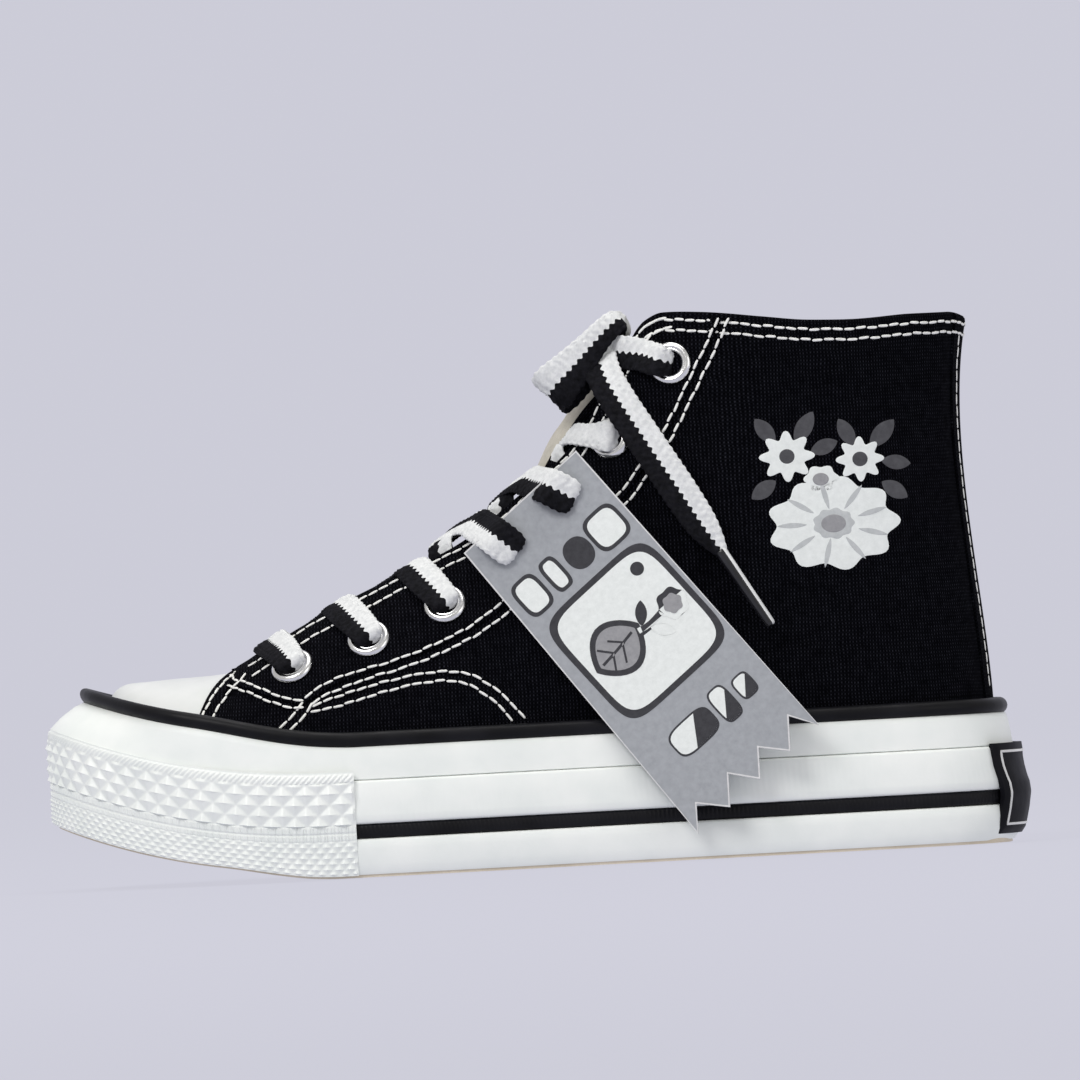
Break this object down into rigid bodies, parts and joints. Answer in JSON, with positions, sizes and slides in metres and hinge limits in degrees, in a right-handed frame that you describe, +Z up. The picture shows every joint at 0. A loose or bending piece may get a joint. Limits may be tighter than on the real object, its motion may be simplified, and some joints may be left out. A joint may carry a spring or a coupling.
{
  "type": "high-top canvas cheer shoe",
  "caption": "Left high-top canvas lace-up shoe with a thick layered rubber sole, rubber toe, metal eyelets, tied two-tone lace and a hanging card tag.",
  "frame": {"origin": "on the ground under the centre of the shoe's bounding box", "axes": "+Z up, +X from toe to heel, +Y towards the inner (medial) side"},
  "size_m": [0.28, 0.1006, 0.1599],
  "materials": {
    "white_rubber": "satin moulded rubber",
    "toe_cap_rubber": "smooth satin rubber",
    "black_rubber": "satin",
    "tan_rubber": "matte treaded rubber",
    "midsole_foam": "matte foam rubber",
    "fibre_board": "matte fibre board",
    "footbed_foam": "cloth-covered foam",
    "stiffener": "matte",
    "canvas_black": "plain-weave cotton canvas",
    "lining_cloth": "woven cotton lining",
    "label_rubber": "satin with a pale border",
    "eyelet_metal": "polished nickel plate",
    "lace_cotton": "flat braid, half white and half black",
    "aglet_plastic": "clear shrink film over the braid",
    "tag_card": "uncoated printed card"
  },
  "bodies": {
    "shoe": {"collar_facing": "lining_cloth", "eyelet_lateral_1": "eyelet_metal", "eyelet_lateral_2": "eyelet_metal", "eyelet_lateral_3": "eyelet_metal", "eyelet_lateral_4": "eyelet_metal", "eyelet_lateral_5": "eyelet_metal", "eyelet_lateral_6": "eyelet_metal", "eyelet_lateral_7": "eyelet_metal", "eyelet_medial_1": "eyelet_metal", "eyelet_medial_2": "eyelet_metal", "eyelet_medial_3": "eyelet_metal", "eyelet_medial_4": "eyelet_metal", "eyelet_medial_5": "eyelet_metal", "eyelet_medial_6": "eyelet_metal", "eyelet_medial_7": "eyelet_metal", "eyestay_lateral": "canvas_black", "eyestay_medial": "canvas_black", "foxing_lower_band": "white_rubber", "foxing_mid_band": "white_rubber", "foxing_stripe": "black_rubber", "foxing_upper_band": "white_rubber", "heel_counter": "stiffener", "heel_label": "label_rubber", "heel_stay": "canvas_black", "insole_board": "fibre_board", "lace_bar_1": "lace_cotton", "lace_knot": "lace_cotton", "lace_lateral_2": "lace_cotton", "lace_lateral_3": "lace_cotton", "lace_lateral_4": "lace_cotton", "lace_lateral_5": "lace_cotton", "lace_lateral_6": "lace_cotton", "lace_lateral_7": "lace_cotton", "lace_loop_lateral": "lace_cotton", "lace_loop_medial": "lace_cotton", "lace_medial_2": "lace_cotton", "lace_medial_3": "lace_cotton", "lace_medial_4": "lace_cotton", "lace_medial_5": "lace_cotton", "lace_medial_6": "lace_cotton", "lace_medial_7": "lace_cotton", "lining": "lining_cloth", "midsole": "midsole_foam", "outsole": "tan_rubber", "quarter_lateral": "canvas_black", "quarter_medial": "canvas_black", "sockliner": "footbed_foam", "toe_bumper": "white_rubber", "toe_cap": "toe_cap_rubber", "toe_puff": "stiffener", "top_piping": "black_rubber", "vamp_lateral": "canvas_black", "vamp_medial": "canvas_black"},
    "tongue": {"tongue": "canvas_black"},
    "hang_tag": {"hang_tag": "tag_card"},
    "lace_end_lateral": {"lace_end_lateral": "lace_cotton", "aglet_lateral": "aglet_plastic"},
    "lace_end_medial": {"lace_end_medial": "lace_cotton", "aglet_medial": "aglet_plastic"}
  },
  "joints": [
    {"name": "tongue_tilt", "type": "hinge", "parent": "shoe", "child": "tongue", "pos_m": [-0.078, 0, 0.0605], "axis": [0, 1, 0], "range_deg": [0, 10]},
    {"name": "tag_swing", "type": "hinge", "parent": "shoe", "child": "hang_tag", "pos_m": [0.0043, -0.0304, 0.0984], "axis": [-0.7719, 0, -0.6357], "range_deg": [0, 40]},
    {"name": "lace_end_lateral_swing", "type": "hinge", "parent": "shoe", "child": "lace_end_lateral", "pos_m": [0.0218, -0.0174, 0.1399], "axis": [-0.8924, 0, -0.4512], "range_deg": [0, 50]},
    {"name": "lace_end_medial_swing", "type": "hinge", "parent": "shoe", "child": "lace_end_medial", "pos_m": [0.0218, 0.0174, 0.1399], "axis": [0.8924, 0, 0.4512], "range_deg": [0, 50]}
  ]
}
